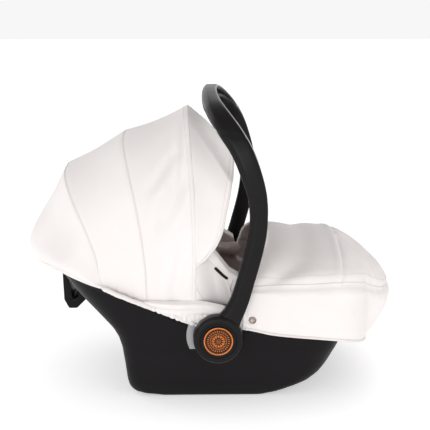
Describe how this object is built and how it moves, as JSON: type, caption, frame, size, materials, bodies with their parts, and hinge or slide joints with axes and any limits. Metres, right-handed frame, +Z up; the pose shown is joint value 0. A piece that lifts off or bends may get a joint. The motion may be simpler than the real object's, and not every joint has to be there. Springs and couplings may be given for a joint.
{
  "type": "infant car seat",
  "caption": "Rear-facing infant car seat shell with swinging carry handle, folding canopy on bows, hinged foot muff, padded seat and harness.",
  "frame": {"origin": "centre of the flat rest face under the base plate, below the handle pivots", "axes": "+X from the head end towards the feet, +Y across to the seat's right side, +Z up"},
  "size_m": [0.727, 0.438, 0.5888],
  "materials": {
    "shell_plastic": "moulded, satin",
    "base_plastic": "moulded, fine grain",
    "handle_plastic": "moulded, satin",
    "grip_rubber": "ribbed soft grip",
    "trim_grey": "moulded, satin",
    "copper_badge": "copper coloured, satin",
    "faux_leather": "ivory, fine grain",
    "velour": "short pile",
    "webbing": "woven polyester",
    "foam": "expanded beads",
    "steel": "zinc plated",
    "buckle_plastic": "moulded, gloss",
    "buckle_red": "moulded, gloss",
    "snap_metal": "champagne plated",
    "inner_plastic": "moulded"
  },
  "bodies": {
    "root": {"outer_shell": "shell_plastic", "base_plate": "base_plastic", "base_screws": "steel", "docking_bar_front": "steel", "docking_bar_rear": "steel", "rear_belt_hook": "shell_plastic", "hook_screws": "steel", "foam_liner": "foam", "seat_cover": "faux_leather", "cover_skirt": "faux_leather", "back_pad": "velour", "seat_pad": "velour", "side_bolster_left": "velour", "side_bolster_right": "velour", "belt_guide_left": "buckle_plastic", "belt_guide_right": "buckle_plastic", "pivot_trim_left": "trim_grey", "pivot_trim_right": "trim_grey", "pivot_pin_left": "steel", "pivot_pin_right": "steel", "shoulder_strap_left": "webbing", "shoulder_strap_right": "webbing", "shoulder_pad_left": "velour", "shoulder_pad_right": "velour", "lap_strap_left": "webbing", "lap_strap_right": "webbing", "crotch_strap": "webbing", "crotch_pad": "velour", "buckle_body": "buckle_plastic", "buckle_tongues": "steel", "adjuster_housing": "buckle_plastic", "canopy_bracket_left": "inner_plastic", "canopy_bracket_right": "inner_plastic", "canopy_hood": "faux_leather", "snap_studs": "snap_metal"},
    "handle": {"carry_handle": "handle_plastic", "handle_grip": "grip_rubber", "button_spring_left": "steel", "button_spring_right": "steel"},
    "button_left": {"release_button_left": "copper_badge", "lock_gear_left": "inner_plastic"},
    "button_right": {"release_button_right": "copper_badge", "lock_gear_right": "inner_plastic"},
    "rear_bow": {"canopy_bow_rear": "inner_plastic", "canopy_panel_rear": "faux_leather"},
    "middle_bow": {"canopy_bow_middle": "inner_plastic", "canopy_panel_front": "faux_leather"},
    "front_bow": {"canopy_bow_front": "inner_plastic", "canopy_visor": "faux_leather"},
    "muff": {"foot_muff": "faux_leather", "snap_caps": "snap_metal"},
    "buckle_key": {"buckle_button": "buckle_red"},
    "adjuster_key": {"adjuster_button": "inner_plastic"}
  },
  "joints": [
    {"name": "handle_pivot", "type": "hinge", "parent": "root", "child": "handle", "pos_m": [0, 0, 0.139], "axis": [0, 1, 0], "range_deg": [-100, 0]},
    {"name": "release_left", "type": "slide", "parent": "handle", "child": "button_left", "axis": [0, 1, 0], "range_m": [0, 0.004], "stiffness_N_per_m": 1500, "springref_m": -0.002, "deforming": ["button_spring_left"]},
    {"name": "release_right", "type": "slide", "parent": "handle", "child": "button_right", "axis": [0, -1, 0], "range_m": [0, 0.004], "stiffness_N_per_m": 1500, "springref_m": -0.002, "deforming": ["button_spring_right"]},
    {"name": "canopy_rear_fold", "type": "hinge", "parent": "root", "child": "rear_bow", "pos_m": [-0.056, 0, 0.17], "axis": [0, 1, 0], "range_deg": [-14, 0]},
    {"name": "canopy_middle_fold", "type": "hinge", "parent": "rear_bow", "child": "middle_bow", "pos_m": [-0.056, 0, 0.17], "axis": [0, 1, 0], "range_deg": [-19, 0]},
    {"name": "canopy_front_fold", "type": "hinge", "parent": "middle_bow", "child": "front_bow", "pos_m": [-0.056, 0, 0.17], "axis": [0, 1, 0], "range_deg": [-19, 0], "deforming": ["canopy_visor"]},
    {"name": "muff_open", "type": "hinge", "parent": "root", "child": "muff", "pos_m": [0.243, 0, 0.107], "axis": [0, 1, 0], "range_deg": [0, 60]},
    {"name": "buckle_press", "type": "slide", "parent": "root", "child": "buckle_key", "axis": [-0.2419, 0, -0.9703], "range_m": [0, 0.0025], "stiffness_N_per_m": 1500, "springref_m": -0.002},
    {"name": "adjuster_press", "type": "slide", "parent": "root", "child": "adjuster_key", "axis": [0.2419, 0, -0.9703], "range_m": [0, 0.003], "stiffness_N_per_m": 1500, "springref_m": -0.002}
  ],
  "couplings": [
    {"joint": "canopy_rear_fold", "follows": "canopy_front_fold", "ratio": 0.73684},
    {"joint": "canopy_middle_fold", "follows": "canopy_front_fold", "ratio": 1}
  ]
}
